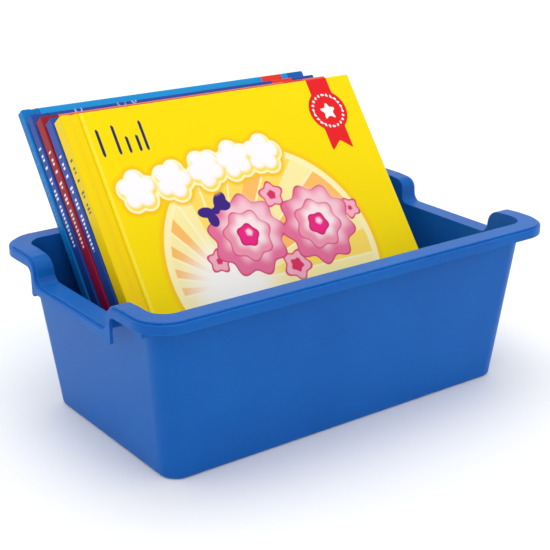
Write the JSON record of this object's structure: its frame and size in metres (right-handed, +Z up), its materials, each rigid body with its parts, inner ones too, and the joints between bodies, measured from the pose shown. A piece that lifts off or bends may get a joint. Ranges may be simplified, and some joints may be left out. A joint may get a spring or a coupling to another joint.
{
  "type": "book tub",
  "caption": "Open rectangular tub with tapered walls, a turned-down rim and a lowered hand-hold at each end, holding hardback picture books that lean back.",
  "frame": {"origin": "centre of the tub's underside, on the surface it stands on", "axes": "+X along the tub's long side, from the books' spines to their free edges; +Y to the back, the way the books lean; +Z up"},
  "size_m": [0.3346, 0.2486, 0.2051],
  "materials": {
    "tub_plastic": "moulded, semi-gloss",
    "yellow_book_cover": "laminated print",
    "blue_book_cover": "laminated print",
    "red_book_cover": "laminated print",
    "navy_book_cover": "laminated print",
    "cyan_book_cover": "laminated print",
    "paper": "matt"
  },
  "bodies": {
    "tub": {"tub": "tub_plastic"},
    "yellow_book": {"yellow_book_back_board": "yellow_book_cover", "yellow_book_spine": "yellow_book_cover", "yellow_book_pages": "paper"},
    "yellow_cover": {"yellow_book_front_board": "yellow_book_cover"},
    "blue_book": {"blue_book_front_board": "blue_book_cover", "blue_book_back_board": "blue_book_cover", "blue_book_spine": "blue_book_cover", "blue_book_pages": "paper"},
    "red_book": {"red_book_front_board": "red_book_cover", "red_book_back_board": "red_book_cover", "red_book_spine": "red_book_cover", "red_book_pages": "paper"},
    "navy_book": {"navy_book_front_board": "navy_book_cover", "navy_book_back_board": "navy_book_cover", "navy_book_spine": "navy_book_cover", "navy_book_pages": "paper"},
    "cyan_book": {"cyan_book_front_board": "cyan_book_cover", "cyan_book_back_board": "cyan_book_cover", "cyan_book_spine": "cyan_book_cover", "cyan_book_pages": "paper"}
  },
  "joints": [
    {"name": "yellow_book_lift", "type": "slide", "parent": "tub", "child": "yellow_book", "axis": [0.0126, 0.6102, 0.7921], "range_m": [0, 0.25]},
    {"name": "blue_book_lift", "type": "slide", "parent": "tub", "child": "blue_book", "axis": [0.0126, 0.6102, 0.7921], "range_m": [0, 0.25]},
    {"name": "red_book_lift", "type": "slide", "parent": "tub", "child": "red_book", "axis": [0.0126, 0.6102, 0.7921], "range_m": [0, 0.25]},
    {"name": "navy_book_lift", "type": "slide", "parent": "tub", "child": "navy_book", "axis": [0.0126, 0.6102, 0.7921], "range_m": [0, 0.25]},
    {"name": "cyan_book_lift", "type": "slide", "parent": "tub", "child": "cyan_book", "axis": [0.0126, 0.6102, 0.7921], "range_m": [0, 0.25]},
    {"name": "yellow_cover_hinge", "type": "hinge", "parent": "yellow_book", "child": "yellow_cover", "pos_m": [-0.11726, -0.0012, 0.0948], "axis": [-0.0126, -0.6102, -0.7921], "range_deg": [0, 2]}
  ]
}
